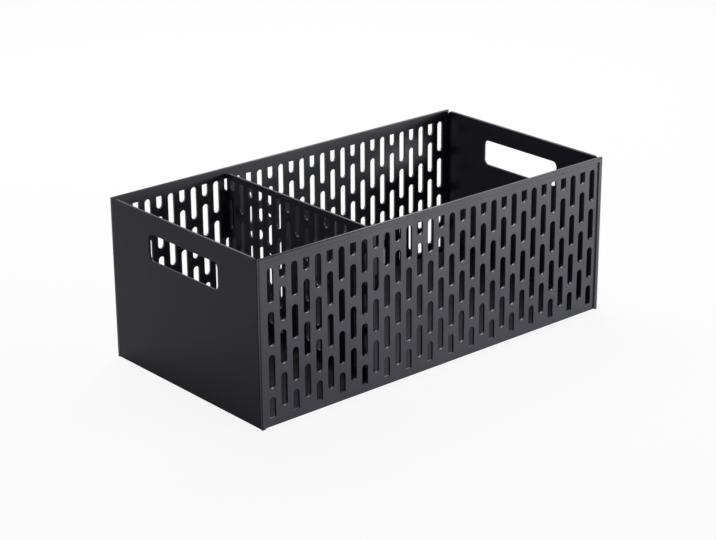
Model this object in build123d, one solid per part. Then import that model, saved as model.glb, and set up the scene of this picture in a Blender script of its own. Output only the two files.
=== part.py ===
from build123d import *
import math
import os

# Vegetable storage bin: two slotted long panels, two plain end panels with hand holes,
# a shallow base tray and a slotted divider that lifts out of two small clips.
# Millimetres. X runs along the bin, Y from front to back, Z up.
# The origin is on the table, under the middle of the bin.

# Overall size
bin_length = 375.0
bin_width = 195.0
bin_height = 140.0

# Long panels: a thin slotted field with a raised border along its top and both ends
field_wall = 1.9
border_raise = 1.3
border_top = 4.0
border_side = 4.0
field_lift = 0.5
border_foot_radius = 2.0
rim_round = 0.4

# Slot pattern: round-ended upright slots, every other column half a step lower
slot_width = 6.1
slot_length = 28.4
slot_bridge = 7.0
slot_pitch = 11.75
slot_margin_side = 8.0
slot_margin_top = 9.1
slot_margin_bottom = 7.4
shortest_slot = 8.0
slot_end_sides = 4

# End panels, held between the long panels
end_wall = 2.2
end_corner_radius = 6.0
edge_chamfer = 0.5
hand_hole_width = 90.0
hand_hole_height = 22.8
hand_hole_below_rim = 17.0
hand_hole_radius = 4.5

# Base tray, between the four walls
tray_floor = 1.6
tray_wall = 1.6
tray_lift = 2.0
tray_reveal = 0.4
tray_corner_radius = 2.0

# Divider
divider_wall = 2.0
divider_from_left = 117.0
divider_below_rim = 4.0
divider_end_gap = 0.4
divider_corner_radius = 4.0
divider_tray_gap = 0.4
divider_slot_pitch = 12.3
divider_slot_cut = 2.0
divider_margin_side = 4.0
divider_margin_top = 5.5
divider_margin_bottom = 8.0

# Divider clips, each pressed into the upper half of one slot of a long panel
clip_below_rim = 41.0
clip_grip_gap = 0.3
clip_cheek_wall = 1.6
clip_cheek_depth = 6.0
clip_collar = 1.5
clip_collar_wall = 1.2
clip_slot_gap = 0.1
clip_face_setback = 1.0
clip_boss_length = 15.5
clip_cheek_round = 1.2

# Places that follow from the sizes
border_wall = field_wall + border_raise
inner_length = bin_length - 2 * end_wall
inner_width = bin_width - 2 * border_wall
field_length = bin_length - 2 * border_side
slot_step = slot_length + slot_bridge
floor_top = tray_lift + tray_floor
tray_edge_top = slot_margin_bottom - tray_reveal
divider_height = bin_height - divider_below_rim - floor_top
divider_width = inner_width - 2 * divider_end_gap


def column_places(span, pitch, margin):
    """Slot columns that fit a span, evenly spaced about its middle."""
    count = math.floor((span - 2 * margin - slot_width) / pitch) + 1
    first = -pitch * (count - 1) / 2
    return [first + pitch * i for i in range(count)]


def upright_slot(length, width):
    """Upright slot with round ends, each end drawn with a few straight sides."""
    radius = width / 2
    points = []
    for side in (1, -1):
        for i in range(slot_end_sides + 1):
            turn = math.pi * i / slot_end_sides
            rise = length / 2 - radius + radius * math.sin(turn)
            points.append((side * radius * math.cos(turn), side * rise))
    return Polygon(*points, align=None)


def slot_spans(top, bottom, lowered, cut=0.0):
    """Heights of one column's slots as (low, high). The margins cut them off, the first by cut."""
    high = top + cut + slot_step / 2 if lowered else top + cut
    spans = []
    while high > bottom:
        low = max(high - slot_length, bottom)
        if min(high, top) - low >= shortest_slot:
            spans.append((high - slot_length, high))
        high -= slot_step
    return spans


def slot_pattern(places, top, bottom, first_lowered, cut=0.0):
    """Staggered slots as one flat sketch, squared off where a margin cuts them."""
    slots = []
    for i, place in enumerate(places):
        lowered = (i % 2 == 0) == first_lowered
        for low, high in slot_spans(top, bottom, lowered, cut):
            slots.append(Pos(place, (low + high) / 2) * upright_slot(slot_length, slot_width))
    window = Pos(0, (top + bottom) / 2) * Rectangle(2 * bin_length, top - bottom)
    return (Sketch() + slots) & window


def nearest(places, target):
    """The place closest to a target."""
    return min(places, key=lambda place: abs(place - target))


panel_columns = column_places(field_length, slot_pitch, slot_margin_side - border_side)
panel_top = bin_height - slot_margin_top
divider_x = nearest(panel_columns, divider_from_left - bin_length / 2)
clip_column_lowered = panel_columns.index(divider_x) % 2 == 1


def long_panel():
    """Front panel: slotted field with a border that stands forward along the top and both ends."""
    blank = Pos(0, bin_height / 2) * Rectangle(bin_length, bin_height)
    under = Pos(0, field_lift / 2) * Rectangle(field_length, field_lift)
    slots = slot_pattern(panel_columns, panel_top, slot_margin_bottom, False)
    field = blank - under - slots
    window_height = bin_height - border_top
    border = blank - Pos(0, window_height / 2) * Rectangle(field_length, window_height)
    feet = [v for v in border.vertices() if abs(v.Y) < field_lift and abs(v.X) < bin_length / 2 - field_lift]
    border = fillet(feet, border_foot_radius)
    inner_face = Plane.XZ.offset(inner_width / 2)
    field_face = Plane.XZ.offset(inner_width / 2 + field_wall)
    panel = extrude(inner_face * field, field_wall) + extrude(field_face * border, border_raise)
    rim_edges = panel.edges().filter_by(Axis.X).group_by(Axis.Z)[-1]
    return fillet(rim_edges, rim_round)


def end_panel():
    """Left end panel: plain wall with rounded top corners and a hand hole near the rim."""
    blank = Pos(0, bin_height / 2) * Rectangle(inner_width, bin_height)
    blank = fillet(blank.vertices().group_by(Axis.Y)[-1], end_corner_radius)
    hole_z = bin_height - hand_hole_below_rim - hand_hole_height / 2
    hole = Pos(0, hole_z) * RectangleRounded(hand_hole_width, hand_hole_height, hand_hole_radius)
    inner_face = Plane.YZ.offset(-inner_length / 2)
    panel = extrude(inner_face * (blank - hole), -end_wall)
    outer = panel.faces().sort_by(Axis.X)[0]
    outline = outer.outer_wire().edges()
    return chamfer(outline.filter_by(lambda e: e.center().Z > edge_chamfer), edge_chamfer)


def base_tray():
    """Floor with a low upturned edge that hides behind the panels' lower margins."""
    outer = Rectangle(inner_length, inner_width)
    inner = RectangleRounded(inner_length - 2 * tray_wall, inner_width - 2 * tray_wall, tray_corner_radius)
    floor = Pos(0, 0, tray_lift) * extrude(outer, tray_floor)
    edge = Pos(0, 0, tray_lift) * extrude(outer - inner, tray_edge_top - tray_lift)
    return floor + edge


def divider():
    """Slotted plate across the bin; it stands on the tray floor, notched over the tray's edges."""
    blank = Pos(0, floor_top + divider_height / 2) * Rectangle(divider_width, divider_height)
    blank = fillet(blank.vertices().group_by(Axis.Y)[-1], divider_corner_radius)
    foot_width = inner_width - 2 * (tray_wall + divider_tray_gap)
    foot_height = tray_edge_top + divider_tray_gap - floor_top
    lower = Pos(0, floor_top + foot_height / 2)
    blank -= lower * (Rectangle(inner_width, foot_height) - Rectangle(foot_width, foot_height))
    places = column_places(divider_width, divider_slot_pitch, divider_margin_side)
    top = floor_top + divider_height - divider_margin_top
    bottom = floor_top + divider_margin_bottom
    slots = slot_pattern(places, top, bottom, True, divider_slot_cut)
    middle = Plane.YZ.offset(divider_x - divider_wall / 2)
    return extrude(middle * (blank - slots), divider_wall)


def divider_clip():
    """Front clip: a boss in the upper half of one whole slot, with two cheeks round the divider."""
    spans = slot_spans(panel_top, slot_margin_bottom, clip_column_lowered)
    whole = [low for low, high in spans if high <= panel_top and low >= slot_margin_bottom]
    slot_low = nearest(whole, bin_height - clip_below_rim - slot_length / 2)
    place = Pos(divider_x, slot_low + slot_length / 2)
    inner_face = Plane.XZ.offset(inner_width / 2)
    plug_length = slot_length - 2 * clip_slot_gap
    upper_half = Pos(0, (plug_length - clip_boss_length) / 2) * Rectangle(slot_width, clip_boss_length)
    boss = upright_slot(plug_length, slot_width - 2 * clip_slot_gap) & upper_half
    collar_length = slot_length + 2 * clip_collar
    collar = upright_slot(collar_length, slot_width + 2 * clip_collar)
    grip_gap = divider_wall + 2 * clip_grip_gap
    grip_width = grip_gap + 2 * clip_cheek_wall
    channel = Rectangle(grip_gap, 2 * collar_length)
    cheeks = RectangleRounded(grip_width, slot_length, clip_cheek_round) - channel
    clip = extrude(inner_face * place * boss, field_wall - clip_face_setback)
    clip += extrude(inner_face * place * (collar - channel), -clip_collar_wall)
    clip += extrude(inner_face * place * cheeks, -clip_cheek_depth)
    return clip


front_panel = long_panel()
left_end_panel = end_panel()
front_divider_clip = divider_clip()

parts = {
    "front_panel": front_panel,
    "back_panel": mirror(front_panel, Plane.XZ),
    "left_end_panel": left_end_panel,
    "right_end_panel": mirror(left_end_panel, Plane.YZ),
    "base_tray": base_tray(),
    "divider": divider(),
    "front_divider_clip": front_divider_clip,
    "back_divider_clip": mirror(front_divider_clip, Plane.XZ),
}

os.makedirs("parts", exist_ok=True)
for name, shape in parts.items():
    export_step(shape, f"parts/{name}.step")
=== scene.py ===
import math

import bmesh
import bpy
from mathutils import Euler, Matrix, Quaternion, Vector


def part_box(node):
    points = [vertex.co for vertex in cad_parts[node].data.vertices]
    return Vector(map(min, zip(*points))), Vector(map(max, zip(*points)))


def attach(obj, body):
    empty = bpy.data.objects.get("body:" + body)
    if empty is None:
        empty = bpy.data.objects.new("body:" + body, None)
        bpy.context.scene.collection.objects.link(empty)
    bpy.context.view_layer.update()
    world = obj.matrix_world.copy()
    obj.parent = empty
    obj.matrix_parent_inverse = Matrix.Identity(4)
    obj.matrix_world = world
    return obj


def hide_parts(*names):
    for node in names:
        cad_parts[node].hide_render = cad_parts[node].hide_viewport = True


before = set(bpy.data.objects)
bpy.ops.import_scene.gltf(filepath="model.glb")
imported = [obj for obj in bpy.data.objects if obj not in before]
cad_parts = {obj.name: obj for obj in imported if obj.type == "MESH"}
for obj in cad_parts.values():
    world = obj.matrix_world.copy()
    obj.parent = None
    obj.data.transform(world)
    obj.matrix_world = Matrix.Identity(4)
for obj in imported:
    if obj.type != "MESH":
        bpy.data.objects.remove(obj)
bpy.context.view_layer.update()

# Long panels
# Two slotted side walls, injection moulded in charcoal plastic with a fine grain. A raised border
# along the top and both ends stiffens each of them and stands in front of the end panels' edges.

panel_low, panel_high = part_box("front_panel")
panel_length = panel_high.x - panel_low.x
bin_height = panel_high.z
inner_half_width = -panel_high.y
border_wall = panel_high.y - panel_low.y
field_wall = 0.0019
border_top = 0.004
border_side = 0.004
border_round = 0.00045
field_lift = 0.0005
foot_radius = 0.002
foot_sides = 4

slot_width = 0.0061
slot_length = 0.0284
slot_bridge = 0.007
slot_pitch = 0.01175
slot_margin_side = 0.008
slot_margin_top = 0.0091
slot_margin_bottom = 0.0074
shortest_slot = 0.008
slot_edge_round = 0.00012

corner_sides = 4
crease_angle = math.radians(50.0)
merge_gap = 0.000002

wall_grain_size = 0.0004
wall_grain_depth = 0.00001
grain_strength = 0.5
flow_size = 0.05
wear_radius = 0.0006
wear_patch = 0.012
darker_shade = 0.82
lighter_shade = 1.18
rubbed_shade = 2.2
speckle_from = 0.62
speckle_gain = 6.0
speckle_share = 0.2
wear_gain = 5.0
roughness_spread = 0.12
rubbed_smoothing = 0.15
panel_charcoal = (0.0150, 0.0156, 0.0250, 1.0)
panel_roughness = 0.36
panel_gloss = 0.5


class Number:
    """A number inside a node tree. Sums and products of numbers add Math nodes to the tree."""

    def __init__(self, tree, socket):
        self.tree = tree
        self.socket = socket

    def maths(self, operation, *others):
        node = self.tree.nodes.new("ShaderNodeMath")
        node.operation = operation
        for socket, value in zip(node.inputs, (self, *others)):
            feed(self.tree, socket, value)
        return Number(self.tree, node.outputs[0])

    def __add__(self, other):
        return self.maths("ADD", other)

    def __sub__(self, other):
        return self.maths("SUBTRACT", other)

    def __mul__(self, other):
        return self.maths("MULTIPLY", other)

    def __truediv__(self, other):
        return self.maths("DIVIDE", other)

    def __rsub__(self, other):
        return self * -1.0 + other

    def held(self, low, high):
        """This number, kept between low and high."""
        return self.maths("MAXIMUM", low).maths("MINIMUM", high)


def feed(tree, socket, value):
    """Links a number or a socket to an input, or writes a plain value there."""
    if isinstance(value, Number):
        value = value.socket
    if isinstance(value, bpy.types.NodeSocket):
        tree.links.new(value, socket)
    else:
        socket.default_value = value


def add_node(tree, kind, inputs=None, **settings):
    """New node with its settings and inputs; returns its first output."""
    node = tree.nodes.new(kind)
    for key, value in settings.items():
        setattr(node, key, value)
    for title, value in (inputs or {}).items():
        feed(tree, node.inputs[title], value)
    return node.outputs[0]


def open_tree(name, kind, inputs, outputs):
    """New node group with named sockets; returns the tree, its inputs by name and its end node."""
    tree = bpy.data.node_groups.new(name, kind)
    for title, socket_kind in inputs.items():
        tree.interface.new_socket(title, in_out="INPUT", socket_type=socket_kind)
    for title, socket_kind in outputs.items():
        tree.interface.new_socket(title, in_out="OUTPUT", socket_type=socket_kind)
    start = tree.nodes.new("NodeGroupInput")
    end = tree.nodes.new("NodeGroupOutput")
    return tree, {title: start.outputs[title] for title in inputs}, end


def make_perforated_plate_tree():
    """Plate drawn flat, x along it, y up and z from its inner to its outer face.

    The band round its edge comes in as the geometry. The tree cuts columns of round-cornered
    openings, every other column half a step lower, and squares them off at the window's edges.
    """
    lengths = ("Pitch", "Step", "Width", "Length", "Corner Radius", "Top", "Window Top",
               "Window Bottom", "Shortest", "Wall", "Edge Radius")
    counts = ("Columns", "Rows", "First Lowered")
    inputs = {"Geometry": "NodeSocketGeometry"}
    inputs.update({title: "NodeSocketFloat" for title in lengths})
    inputs.update({title: "NodeSocketInt" for title in counts})
    inputs["Material"] = "NodeSocketMaterial"
    tree, given, end = open_tree(
        "Perforated plate", "GeometryNodeTree", inputs, {"Geometry": "NodeSocketGeometry"}
    )
    size = {title: Number(tree, given[title]) for title in lengths + counts}
    index = Number(tree, add_node(tree, "GeometryNodeInputIndex"))

    # One point in the middle of each opening, column by column, from the top down
    column = (index / size["Rows"]).maths("FLOOR")
    row = index - column * size["Rows"]
    lowered = (column + size["First Lowered"]).maths("MODULO", 2.0)
    high = size["Top"] + (lowered * 0.5 - row) * size["Step"]
    low = high - size["Length"]
    seen_top = high.maths("MINIMUM", size["Window Top"])
    seen_height = seen_top - low.maths("MAXIMUM", size["Window Bottom"])
    middle_x = (column - (size["Columns"] - 1.0) * 0.5) * size["Pitch"]
    middle = add_node(tree, "ShaderNodeCombineXYZ", {"X": middle_x, "Y": high - size["Length"] * 0.5})
    points = add_node(tree, "GeometryNodePoints", {"Count": size["Columns"] * size["Rows"]})
    points = add_node(tree, "GeometryNodeSetPosition", {"Geometry": points, "Position": middle})
    too_short = seen_height.maths("LESS_THAN", size["Shortest"])
    points = add_node(tree, "GeometryNodeDeleteGeometry", {"Geometry": points, "Selection": too_short})

    # One opening's inner wall: rings from the outer face to the inner one, with softened rims
    corner_points = corner_sides + 1
    rings = 4
    middle_ring = (rings - 1) / 2
    sleeve = add_node(
        tree, "GeometryNodeMeshGrid", {"Vertices X": 4 * corner_points + 1, "Vertices Y": rings}
    )
    step_round = (index / rings).maths("FLOOR")
    ring = index - step_round * rings
    corner = (step_round / corner_points).maths("FLOOR")
    angle = (corner + (step_round - corner * corner_points) / corner_sides) * (math.pi / 2)
    corner_middle = (corner + 0.5) * (math.pi / 2)
    side_x = corner_middle.maths("COSINE").maths("SIGN")
    side_y = corner_middle.maths("SINE").maths("SIGN")
    end_ring = (ring - middle_ring).maths("ABSOLUTE").maths("GREATER_THAN", 1.0)
    rim = end_ring * size["Edge Radius"]
    reach = size["Corner Radius"] + rim
    x = side_x * (size["Width"] * 0.5 - size["Corner Radius"]) + reach * angle.maths("COSINE")
    y = side_y * (size["Length"] * 0.5 - size["Corner Radius"]) + reach * angle.maths("SINE")
    inset = size["Edge Radius"] - rim
    facing = (middle_ring - ring).maths("SIGN")
    z = size["Wall"] * 0.5 + facing * (size["Wall"] * 0.5 - inset)
    place = add_node(tree, "ShaderNodeCombineXYZ", {"X": x, "Y": y, "Z": z})
    sleeve = add_node(tree, "GeometryNodeSetPosition", {"Geometry": sleeve, "Position": place})
    sleeve = add_node(
        tree, "GeometryNodeStoreNamedAttribute", {"Geometry": sleeve, "Name": "rim", "Value": rim}
    )

    # All openings, squared off at the window's edges, joined to the plate's edge band
    openings = add_node(tree, "GeometryNodeInstanceOnPoints", {"Points": points, "Instance": sleeve})
    openings = add_node(tree, "GeometryNodeRealizeInstances", {"Geometry": openings})
    own_rim = Number(tree, add_node(tree, "GeometryNodeInputNamedAttribute", {"Name": "rim"}))
    position = add_node(tree, "GeometryNodeInputPosition")
    split = tree.nodes.new("ShaderNodeSeparateXYZ")
    tree.links.new(position, split.inputs[0])
    here_x, here_y, here_z = (Number(tree, socket) for socket in split.outputs)
    held_y = here_y.held(size["Window Bottom"] - own_rim, size["Window Top"] + own_rim)
    squared = add_node(tree, "ShaderNodeCombineXYZ", {"X": here_x, "Y": held_y, "Z": here_z})
    openings = add_node(tree, "GeometryNodeSetPosition", {"Geometry": openings, "Position": squared})
    openings = add_node(tree, "GeometryNodeRemoveAttribute", {"Geometry": openings, "Name": "rim"})

    def joined(*pieces):
        """Pieces as one mesh, with the points that coincide merged."""
        join = tree.nodes.new("GeometryNodeJoinGeometry")
        for piece in reversed(pieces):
            tree.links.new(piece, join.inputs["Geometry"])
        return add_node(
            tree, "GeometryNodeMergeByDistance", {"Geometry": join.outputs[0], "Distance": merge_gap}
        )

    shell = joined(given["Geometry"], openings)
    neighbours = tree.nodes.new("GeometryNodeInputMeshEdgeNeighbors").outputs["Face Count"]
    rim_edge = Number(tree, neighbours).maths("COMPARE", 1.0, 0.1)

    def flat_face(on_side):
        """Flat face between the rims of one side, still at height zero."""
        loops = add_node(
            tree, "GeometryNodeMeshToCurve", {"Mesh": shell, "Selection": rim_edge * on_side}
        )
        face = add_node(tree, "GeometryNodeFillCurve", {"Curve": loops})
        return add_node(tree, "GeometryNodeSetShadeSmooth", {"Geometry": face, "Shade Smooth": False})

    outer = flat_face(here_z.maths("GREATER_THAN", size["Wall"] * 0.5))
    lift = add_node(tree, "ShaderNodeCombineXYZ", {"Z": size["Wall"]})
    outer = add_node(tree, "GeometryNodeSetPosition", {"Geometry": outer, "Offset": lift})
    inner = flat_face(here_z.maths("LESS_THAN", size["Wall"] * 0.5))
    inner = add_node(tree, "GeometryNodeFlipFaces", {"Mesh": inner})
    plate = joined(shell, outer, inner)
    bend = tree.nodes.new("GeometryNodeInputMeshEdgeAngle").outputs["Unsigned Angle"]
    crease = Number(tree, bend).maths("GREATER_THAN", crease_angle)
    plate = add_node(
        tree,
        "GeometryNodeSetShadeSmooth",
        {"Geometry": plate, "Selection": crease, "Shade Smooth": False},
        domain="EDGE",
    )
    plate = add_node(tree, "GeometryNodeRealizeInstances", {"Geometry": plate})
    plate = add_node(tree, "GeometryNodeSetMaterial", {"Geometry": plate, "Material": given["Material"]})
    tree.links.new(plate, end.inputs["Geometry"])
    return tree


perforated_plate_tree = make_perforated_plate_tree()


def inward_turns(outline):
    """For each corner of an anticlockwise outline, the way to move it for an inset of one."""
    corners = [Vector(point) for point in outline]
    turns = []
    for i, corner in enumerate(corners):
        before = (corner - corners[i - 1]).normalized()
        after = (corners[(i + 1) % len(corners)] - corner).normalized()
        bisector = Vector((-before.y - after.y, before.x + after.x))
        turns.append(bisector / (1.0 + before.dot(after)))
    return turns


def ring_mesh(name, rings, caps=False):
    """Smooth mesh between rings of points, listed from the inner to the outer face."""
    count = len(rings[0])
    faces = []
    for ring in range(len(rings) - 1):
        for i in range(count):
            a, b = ring * count + i, ring * count + (i + 1) % count
            faces.append((a, b, b + count, a + count))
    band_faces = len(faces)
    if caps:
        faces.append(tuple(reversed(range(count))))
        faces.append(tuple(range((len(rings) - 1) * count, len(rings) * count)))
    mesh = bpy.data.meshes.new(name)
    mesh.from_pydata([point for ring in rings for point in ring], [], faces)
    for face in mesh.polygons:
        face.use_smooth = face.index < band_faces
    return mesh


def edge_band(outline, wall, edge_round):
    """Mesh of the band round a plate's outline, drawn anticlockwise, from inner to outer face."""
    depths = [(0.0, 0.0), (0.0, wall)]
    if edge_round:
        depths = [(edge_round, 0.0), (0.0, edge_round), (0.0, wall - edge_round), (edge_round, wall)]
    rings = []
    for inset, depth in depths:
        turned = zip(outline, inward_turns(outline))
        rings.append([(x + inset * turn.x, y + inset * turn.y, depth) for (x, y), turn in turned])
    return ring_mesh("edge_band", rings)


def arc(centre_x, centre_y, radius, from_degrees, to_degrees, sides):
    """Points of an arc, ends included."""
    angles = [math.radians(from_degrees + (to_degrees - from_degrees) * i / sides) for i in range(sides + 1)]
    return [(centre_x + radius * math.cos(a), centre_y + radius * math.sin(a)) for a in angles]


def perforated_plate(band, settings, material):
    """Plain mesh of a plate with its openings, made from its edge band by the node tree."""
    holder = bpy.data.objects.new("plate_in_work", band)
    bpy.context.scene.collection.objects.link(holder)
    modifier = holder.modifiers.new("openings", "NODES")
    modifier.node_group = perforated_plate_tree
    for item in perforated_plate_tree.interface.items_tree:
        if item.in_out == "INPUT" and item.name != "Geometry":
            modifier[item.identifier] = material if item.name == "Material" else settings[item.name]
    depsgraph = bpy.context.evaluated_depsgraph_get()
    mesh = bpy.data.meshes.new_from_object(holder.evaluated_get(depsgraph), depsgraph=depsgraph)
    bpy.data.objects.remove(holder)
    return mesh


def standing(turn_degrees, place):
    """Matrix that stands a flat-drawn plate up, with its outer face turned as asked."""
    turn = Euler((math.pi / 2, 0.0, math.radians(turn_degrees)))
    return Matrix.Translation(place) @ turn.to_matrix().to_4x4()


def join_meshes(name, meshes, material):
    """One mesh out of several, with one material."""
    shape = bmesh.new()
    for mesh in meshes:
        shape.from_mesh(mesh)
    whole = bpy.data.meshes.new(name)
    shape.to_mesh(whole)
    shape.free()
    whole.materials.append(material)
    return whole


def make_grain_group():
    """Fine spark-eroded mould grain with slow unevenness from the melt's flow."""
    tree, given, end = open_tree(
        "Moulded grain",
        "ShaderNodeTree",
        {"Grain Size": "NodeSocketFloat", "Flow Size": "NodeSocketFloat"},
        {"Height": "NodeSocketFloat", "Flow": "NodeSocketFloat", "Speckle": "NodeSocketFloat"},
    )
    place = tree.nodes.new("ShaderNodeTexCoord").outputs["Object"]

    def noise(size_title, detail):
        scale = Number(tree, given[size_title]).maths("POWER", -1.0)
        return Number(
            tree, add_node(tree, "ShaderNodeTexNoise", {"Vector": place, "Scale": scale, "Detail": detail})
        )

    grain = noise("Grain Size", 2.0)
    feed(tree, end.inputs["Height"], grain)
    feed(tree, end.inputs["Flow"], noise("Flow Size", 3.0))
    feed(tree, end.inputs["Speckle"], ((grain - speckle_from) * speckle_gain).held(0.0, 1.0))
    return tree


def make_wear_group():
    """Mask of the edges that hands and produce rub smooth, broken up so that it isn't even."""
    tree, given, end = open_tree(
        "Edge wear",
        "ShaderNodeTree",
        {"Radius": "NodeSocketFloat", "Patch Size": "NodeSocketFloat"},
        {"Mask": "NodeSocketFloat"},
    )
    soft = add_node(tree, "ShaderNodeBevel", {"Radius": given["Radius"]}, samples=6)
    surface = tree.nodes.new("ShaderNodeNewGeometry").outputs["Normal"]
    match = tree.nodes.new("ShaderNodeVectorMath")
    match.operation = "DOT_PRODUCT"
    tree.links.new(soft, match.inputs[0])
    tree.links.new(surface, match.inputs[1])
    edge = ((1.0 - Number(tree, match.outputs["Value"])) * wear_gain).held(0.0, 1.0)
    place = tree.nodes.new("ShaderNodeTexCoord").outputs["Object"]
    scale = Number(tree, given["Patch Size"]).maths("POWER", -1.0)
    patches = Number(tree, add_node(tree, "ShaderNodeTexNoise", {"Vector": place, "Scale": scale}))
    feed(tree, end.inputs["Mask"], edge * patches)
    return tree


grain_group = make_grain_group()
wear_group = make_wear_group()


def mix_colour(tree, share, a, b):
    """Colour between a and b; each is a socket or a colour."""
    node = tree.nodes.new("ShaderNodeMix")
    node.data_type = "RGBA"
    colours = [socket for socket in node.inputs if socket.type == "RGBA"]
    for socket, value in ((node.inputs["Factor"], share), (colours[0], a), (colours[1], b)):
        feed(tree, socket, value)
    return next(socket for socket in node.outputs if socket.type == "RGBA")


def moulded_plastic(
    name, colour, roughness, gloss, grain_size=wall_grain_size, grain_depth=wall_grain_depth
):
    """Charcoal moulded plastic: flow variation, grain, speckle and rubbed edges."""
    material = bpy.data.materials.new(name)
    material.use_nodes = True
    tree = material.node_tree
    shader = tree.nodes["Principled BSDF"]
    shader.inputs["Specular IOR Level"].default_value = gloss
    grain = tree.nodes.new("ShaderNodeGroup")
    grain.node_tree = grain_group
    grain.inputs["Grain Size"].default_value = grain_size
    grain.inputs["Flow Size"].default_value = flow_size
    wear = tree.nodes.new("ShaderNodeGroup")
    wear.node_tree = wear_group
    wear.inputs["Radius"].default_value = wear_radius
    wear.inputs["Patch Size"].default_value = wear_patch
    darker, lighter, rubbed = (
        tuple(shade * channel for channel in colour[:3]) + (1.0,)
        for shade in (darker_shade, lighter_shade, rubbed_shade)
    )
    speckle = Number(tree, grain.outputs["Speckle"])
    worn = Number(tree, wear.outputs["Mask"])
    cloudy = mix_colour(tree, grain.outputs["Flow"], darker, lighter)
    speckled = mix_colour(tree, speckle * speckle_share, cloudy, rubbed)
    feed(tree, shader.inputs["Base Color"], mix_colour(tree, worn, speckled, rubbed))
    uneven = Number(tree, grain.outputs["Flow"]) * roughness_spread + (roughness - roughness_spread / 2)
    feed(tree, shader.inputs["Roughness"], uneven - worn * rubbed_smoothing)
    bump = tree.nodes.new("ShaderNodeBump")
    bump.inputs["Strength"].default_value = grain_strength
    bump.inputs["Distance"].default_value = grain_depth
    feed(tree, bump.inputs["Height"], grain.outputs["Height"])
    feed(tree, shader.inputs["Normal"], bump.outputs["Normal"])
    return material


def raised_border():
    """Border of one long panel: two end strips and a top strip in one piece, with rounded feet."""
    half, inner = panel_length / 2, panel_length / 2 - border_side
    foot = inner + foot_radius
    right_foot = arc(foot, foot_radius, foot_radius, 180, 270, foot_sides)
    left_foot = arc(-foot, foot_radius, foot_radius, 270, 360, foot_sides)
    under_top = bin_height - border_top
    outline = [(-half, 0.0), *left_foot, (-inner, under_top), (inner, under_top), *right_foot]
    outline += [(half, 0.0), (half, bin_height), (-half, bin_height)]
    rings = []
    for inset, depth in ((border_round, 0.0), (0.0, border_round), (0.0, border_wall - border_round)):
        ring = []
        for x, y in outline:
            side = math.copysign(inset, x) if abs(x) == half else 0.0
            drop = inset if y == bin_height else 0.0
            ring.append((x - side, y - drop, depth))
        rings.append(ring)
    turned = zip(outline, inward_turns(outline))
    rings.append([(x + border_round * t.x, y + border_round * t.y, border_wall) for (x, y), t in turned])
    return ring_mesh("border", rings, caps=True)


def staggered_slots(span, pitch, window_bottom, window_top, cut, wall, first_lowered):
    """Settings of a slot pattern whose columns fit a span; the window cuts its top slots by cut."""
    step = slot_length + slot_bridge
    return {
        "Pitch": pitch,
        "Step": step,
        "Width": slot_width,
        "Length": slot_length,
        "Corner Radius": slot_width / 2,
        "Top": window_top + cut,
        "Window Top": window_top,
        "Window Bottom": window_bottom,
        "Shortest": shortest_slot,
        "Wall": wall,
        "Edge Radius": slot_edge_round,
        "Columns": math.floor((span - slot_width) / pitch) + 1,
        "Rows": math.ceil((window_top - window_bottom) / step) + 1,
        "First Lowered": first_lowered,
    }


def slotted_field(material):
    """The thin slotted field inside the border, drawn flat like the border."""
    half, top = panel_length / 2 - border_side, bin_height - border_top
    outline = [(-half, field_lift), (half, field_lift), (half, top), (-half, top)]
    span = 2 * half - 2 * (slot_margin_side - border_side)
    window_top = bin_height - slot_margin_top
    settings = staggered_slots(span, slot_pitch, slot_margin_bottom, window_top, 0.0, field_wall, 0)
    return perforated_plate(edge_band(outline, field_wall, 0.0), settings, material)


def finished(name, mesh, node, body):
    """A finished piece that stands in for a CAD node and rides on a body."""
    piece = bpy.data.objects.new(name, mesh)
    bpy.context.scene.collection.objects.link(piece)
    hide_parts(node)
    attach(piece, body)


def long_panel(name, node, turn_degrees, inner_y, material):
    """Long panel in its place, standing in for its CAD node."""
    mesh = join_meshes(name, [slotted_field(material), raised_border()], material)
    mesh.transform(standing(turn_degrees, Vector((0.0, inner_y, 0.0))))
    finished(name, mesh, node, "bin")


panel_plastic = moulded_plastic("long_panel_charcoal", panel_charcoal, panel_roughness, panel_gloss)
long_panel("slotted_front_panel", "front_panel", 0.0, -inner_half_width, panel_plastic)
long_panel("slotted_back_panel", "back_panel", 180.0, inner_half_width, panel_plastic)

# End panels
# Two plain walls held between the long panels. Their charcoal is a darker, less glossy copy of the long
# panels' charcoal, which paints shade onto them. Each has rounded top corners and a hand hole near the rim,
# with its edges rounded where fingers pull on it.

end_low, end_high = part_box("left_end_panel")
end_wall = end_high.x - end_low.x
end_corner_radius = 0.006
end_corner_sides = 8
end_edge_round = 0.0005
hand_hole_width = 0.09
hand_hole_height = 0.0228
hand_hole_below_rim = 0.017
hand_hole_radius = 0.0045
# Painted shade: darker and less glossy than the long panels' charcoal, so the end walls read shaded.
shaded_end_charcoal = (0.0108, 0.0115, 0.0210, 1.0)
end_roughness = 0.38
end_gloss = 0.18


def end_panel(name, node, turn_degrees, inner_x, material):
    """End panel in its place, standing in for its CAD node."""
    half, radius, sides = inner_half_width, end_corner_radius, end_corner_sides
    right_corner = arc(half - radius, bin_height - radius, radius, 0, 90, sides)
    left_corner = arc(radius - half, bin_height - radius, radius, 90, 180, sides)
    outline = [(-half, 0.0), (half, 0.0), *right_corner, *left_corner]
    hole_top = bin_height - hand_hole_below_rim
    settings = {
        "Pitch": hand_hole_width,
        "Step": bin_height,
        "Width": hand_hole_width,
        "Length": hand_hole_height,
        "Corner Radius": hand_hole_radius,
        "Top": hole_top,
        "Window Top": hole_top,
        "Window Bottom": hole_top - hand_hole_height,
        "Shortest": hand_hole_radius,
        "Wall": end_wall,
        "Edge Radius": end_edge_round,
        "Columns": 1,
        "Rows": 1,
        "First Lowered": 0,
    }
    plate = perforated_plate(edge_band(outline, end_wall, end_edge_round), settings, material)
    mesh = join_meshes(name, [plate], material)
    mesh.transform(standing(turn_degrees, Vector((inner_x, 0.0, 0.0))))
    finished(name, mesh, node, "bin")


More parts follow.
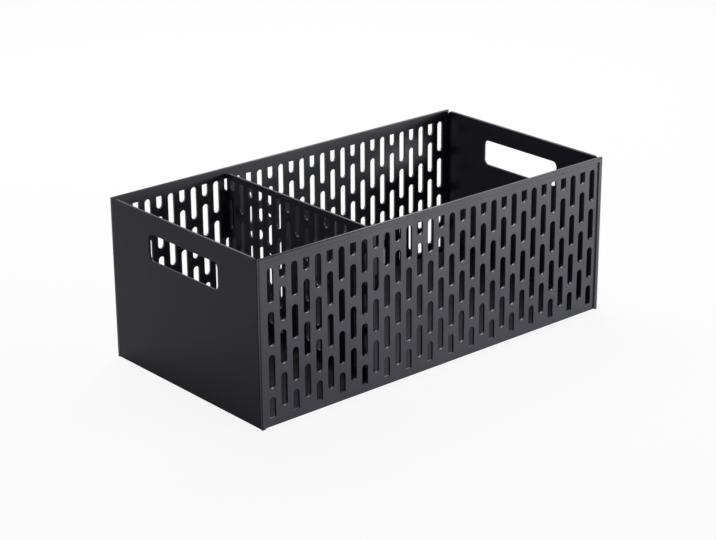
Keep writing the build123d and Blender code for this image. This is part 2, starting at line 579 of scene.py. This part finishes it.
shaded_end_plastic = moulded_plastic("shaded_end_panel_charcoal", shaded_end_charcoal, end_roughness, end_gloss)
end_panel("left_end_wall", "left_end_panel", -90.0, end_high.x, shaded_end_plastic)
end_panel("right_end_wall", "right_end_panel", 90.0, -end_high.x, shaded_end_plastic)

# Base tray
# The floor, moulded in one piece with a low upturned edge that hides behind the walls' lower
# margins. It is the darkest and dullest piece, which paints shade onto the inside of the bin.

tray_edge_round = 0.0004
tray_grain_size = 0.0006
# Painted shade: the darkest charcoal, for the shaded inside of the bin.
shaded_tray_charcoal = (0.0065, 0.0070, 0.0100, 1.0)
tray_roughness = 0.55
tray_gloss = 0.08


def softened_copy(name, node, width):
    """Clean copy of a CAD node's mesh with its sharp edges rounded."""
    shape = bmesh.new()
    shape.from_mesh(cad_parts[node].data)
    bmesh.ops.remove_doubles(shape, verts=shape.verts, dist=merge_gap)
    bmesh.ops.dissolve_limit(shape, angle_limit=math.radians(1.0), verts=shape.verts, edges=shape.edges)
    for face in shape.faces:
        face.smooth = False
    sharp = [edge for edge in shape.edges if edge.calc_face_angle(0.0) > crease_angle]
    rounded = bmesh.ops.bevel(shape, geom=sharp, offset=width, segments=2, profile=0.5, affect="EDGES")
    for face in rounded["faces"]:
        face.smooth = True
    mesh = bpy.data.meshes.new(name)
    shape.to_mesh(mesh)
    shape.free()
    return mesh


tray_mesh = softened_copy("tray", "base_tray", tray_edge_round)
shaded_tray_plastic = moulded_plastic(
    "shaded_tray_charcoal", shaded_tray_charcoal, tray_roughness, tray_gloss, tray_grain_size
)
tray_mesh.materials.append(shaded_tray_plastic)
finished("tray", tray_mesh, "base_tray", "bin")

# Divider
# A slotted plate that slides down between the clips and stands on the tray. Its top corners are
# rounded, and its lower corners are notched to clear the tray's upturned edge.

divider_low, divider_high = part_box("divider")
divider_wall = divider_high.x - divider_low.x
divider_corner_radius = 0.004
divider_corner_sides = 6
divider_foot_gap = 0.002
divider_notch_gap = 0.0004
divider_edge_round = 0.0003
divider_slot_pitch = 0.0123
divider_slot_cut = 0.002
divider_margin_side = 0.004
divider_margin_top = 0.0055
divider_margin_bottom = 0.008
# Painted shade: a darker, duller charcoal than the long panels', for the divider's place in the shaded inside
# of the bin.
shaded_divider_charcoal = (0.0105, 0.0110, 0.0170, 1.0)
divider_roughness = 0.42
divider_gloss = 0.22


def divider_plate(material):
    """The divider, drawn flat with its inner face at zero."""
    half = divider_high.y
    foot_half = inner_half_width - divider_foot_gap
    bottom, top = divider_low.z, divider_high.z
    notch_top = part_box("base_tray")[1].z + divider_notch_gap
    radius, sides = divider_corner_radius, divider_corner_sides
    right_corner = arc(half - radius, top - radius, radius, 0, 90, sides)
    left_corner = arc(radius - half, top - radius, radius, 90, 180, sides)
    outline = [(-foot_half, bottom), (foot_half, bottom), (foot_half, notch_top), (half, notch_top)]
    outline += [*right_corner, *left_corner, (-half, notch_top), (-foot_half, notch_top)]
    window_top = top - divider_margin_top
    window_bottom = bottom + divider_margin_bottom
    span = 2 * half - 2 * divider_margin_side
    settings = staggered_slots(
        span, divider_slot_pitch, window_bottom, window_top, divider_slot_cut, divider_wall, 1
    )
    return perforated_plate(edge_band(outline, divider_wall, divider_edge_round), settings, material)


shaded_divider_plastic = moulded_plastic("shaded_divider_charcoal", shaded_divider_charcoal, divider_roughness, divider_gloss)
divider_mesh = join_meshes("slotted_divider", [divider_plate(shaded_divider_plastic)], shaded_divider_plastic)
divider_mesh.transform(standing(90.0, Vector((divider_low.x, 0.0, 0.0))))
finished("slotted_divider", divider_mesh, "divider", "divider")

# Divider clips
# Two small moulded clips, each pressed into the upper half of one slot of a long panel. Their
# cheeks hold the divider's end, and their mould's grain is finer than the walls'.

clip_edge_round = 0.00015
clip_grain_size = 0.0003
clip_grain_depth = 0.000006
# Painted shade: a near-black, low-gloss charcoal, so the clips read as the shade inside their slots.
shaded_clip_charcoal = (0.0080, 0.0083, 0.0105, 1.0)
clip_roughness = 0.42
clip_gloss = 0.12

shaded_clip_plastic = moulded_plastic(
    "shaded_clip_charcoal", shaded_clip_charcoal, clip_roughness, clip_gloss, clip_grain_size, clip_grain_depth
)

for side in ("front", "back"):
    clip_mesh = softened_copy(f"{side}_clip", f"{side}_divider_clip", clip_edge_round)
    clip_mesh.materials.append(shaded_clip_plastic)
    finished(f"{side}_clip", clip_mesh, f"{side}_divider_clip", "bin")

# Floor and backdrop
# A pale seamless sheet. It shows white to the camera and keeps the bin's soft shadow.

floor_half = 3.0
floor_white = (0.8, 0.8, 0.8, 1.0)
seen_white = 0.9
mirrored_white = 0.25

floor_corners = [(x * floor_half, y * floor_half, 0.0) for x, y in ((-1, -1), (1, -1), (1, 1), (-1, 1))]
floor_mesh = bpy.data.meshes.new("floor")
floor_mesh.from_pydata(floor_corners, [], [(0, 1, 2, 3)])
floor = bpy.data.objects.new("floor", floor_mesh)
bpy.context.scene.collection.objects.link(floor)


def shown_share(tree, seen, mirrored):
    """Share of white for rays from the camera, and for rays from a gloss or through glass."""
    path = tree.nodes.new("ShaderNodeLightPath")
    direct = Number(tree, path.outputs["Is Camera Ray"]) * seen
    by_way = Number(tree, path.outputs["Is Glossy Ray"]).maths("MAXIMUM", path.outputs["Is Transmission Ray"])
    return direct.maths("MAXIMUM", by_way * mirrored)


paper = bpy.data.materials.new("white_paper")
paper.use_nodes = True
paper_tree = paper.node_tree
paper_shader = paper_tree.nodes["Principled BSDF"]
paper_shader.inputs["Base Color"].default_value = floor_white
paper_shader.inputs["Roughness"].default_value = 0.9
paper_shader.inputs["Specular IOR Level"].default_value = 0.1
glow = paper_tree.nodes.new("ShaderNodeEmission")
both = paper_tree.nodes.new("ShaderNodeMixShader")
feed(paper_tree, both.inputs[0], shown_share(paper_tree, seen_white, mirrored_white))
feed(paper_tree, both.inputs[1], paper_shader.outputs[0])
feed(paper_tree, both.inputs[2], glow.outputs[0])
feed(paper_tree, paper_tree.nodes["Material Output"].inputs["Surface"], both.outputs[0])
floor_mesh.materials.append(paper)

ambient = 0.12
world = bpy.data.worlds.new("studio")
bpy.context.scene.world = world
world.use_nodes = True
sky_tree = world.node_tree
sky = sky_tree.nodes["Background"]
sky.inputs["Color"].default_value = (1.0, 1.0, 1.0, 1.0)
shown = shown_share(sky_tree, seen_white - ambient, 1.0 - ambient)
feed(sky_tree, sky.inputs["Strength"], shown + ambient)

# Lamps
# A low strip box in front to the right, a weak box to the left, and one behind and above the bin
# that catches the rims and the bottoms of the slots.


def soft_box(name, place, target, width, height, power):
    """Rectangular area lamp at a place, facing a target."""
    lamp = bpy.data.lights.new(name, "AREA")
    lamp.shape = "RECTANGLE"
    lamp.size = width
    lamp.size_y = height
    lamp.energy = power
    holder = bpy.data.objects.new(name, lamp)
    bpy.context.scene.collection.objects.link(holder)
    holder.location = place
    holder.rotation_mode = "QUATERNION"
    holder.rotation_quaternion = (Vector(place) - Vector(target)).to_track_quat("Z", "Y")


bin_middle = (0.0, 0.0, 0.07)
soft_box("key", (1.2, -1.45, 0.2), bin_middle, 1.0, 0.3, 40.0)
soft_box("fill", (-1.2, -0.9, 1.4), bin_middle, 1.0, 1.0, 1.0)
soft_box("overhead", (0.45, 0.85, 1.3), bin_middle, 1.5, 0.7, 27.0)

# Camera
# A long lens beyond the left front corner, looking 21 degrees down, as in the photograph.

photo_width = 716
camera_place = Vector((-1.05138, -1.21182, 0.67349))
camera_azimuth = math.radians(-40.78)
camera_elevation = math.radians(21.03)
camera_roll = math.radians(-0.361)
focal_pixels = 2025.1

camera_data = bpy.data.cameras.new("camera")
camera_data.sensor_width = 36.0
camera_data.lens = focal_pixels / photo_width * camera_data.sensor_width
camera = bpy.data.objects.new("camera", camera_data)
bpy.context.scene.collection.objects.link(camera)
back = Vector((
    math.sin(camera_azimuth) * math.cos(camera_elevation),
    -math.cos(camera_azimuth) * math.cos(camera_elevation),
    math.sin(camera_elevation),
))
camera.location = camera_place
camera.rotation_mode = "QUATERNION"
camera.rotation_quaternion = Quaternion(back, camera_roll) @ back.to_track_quat("Z", "Y")
bpy.context.scene.camera = camera
bpy.context.scene.view_settings.view_transform = "Standard"
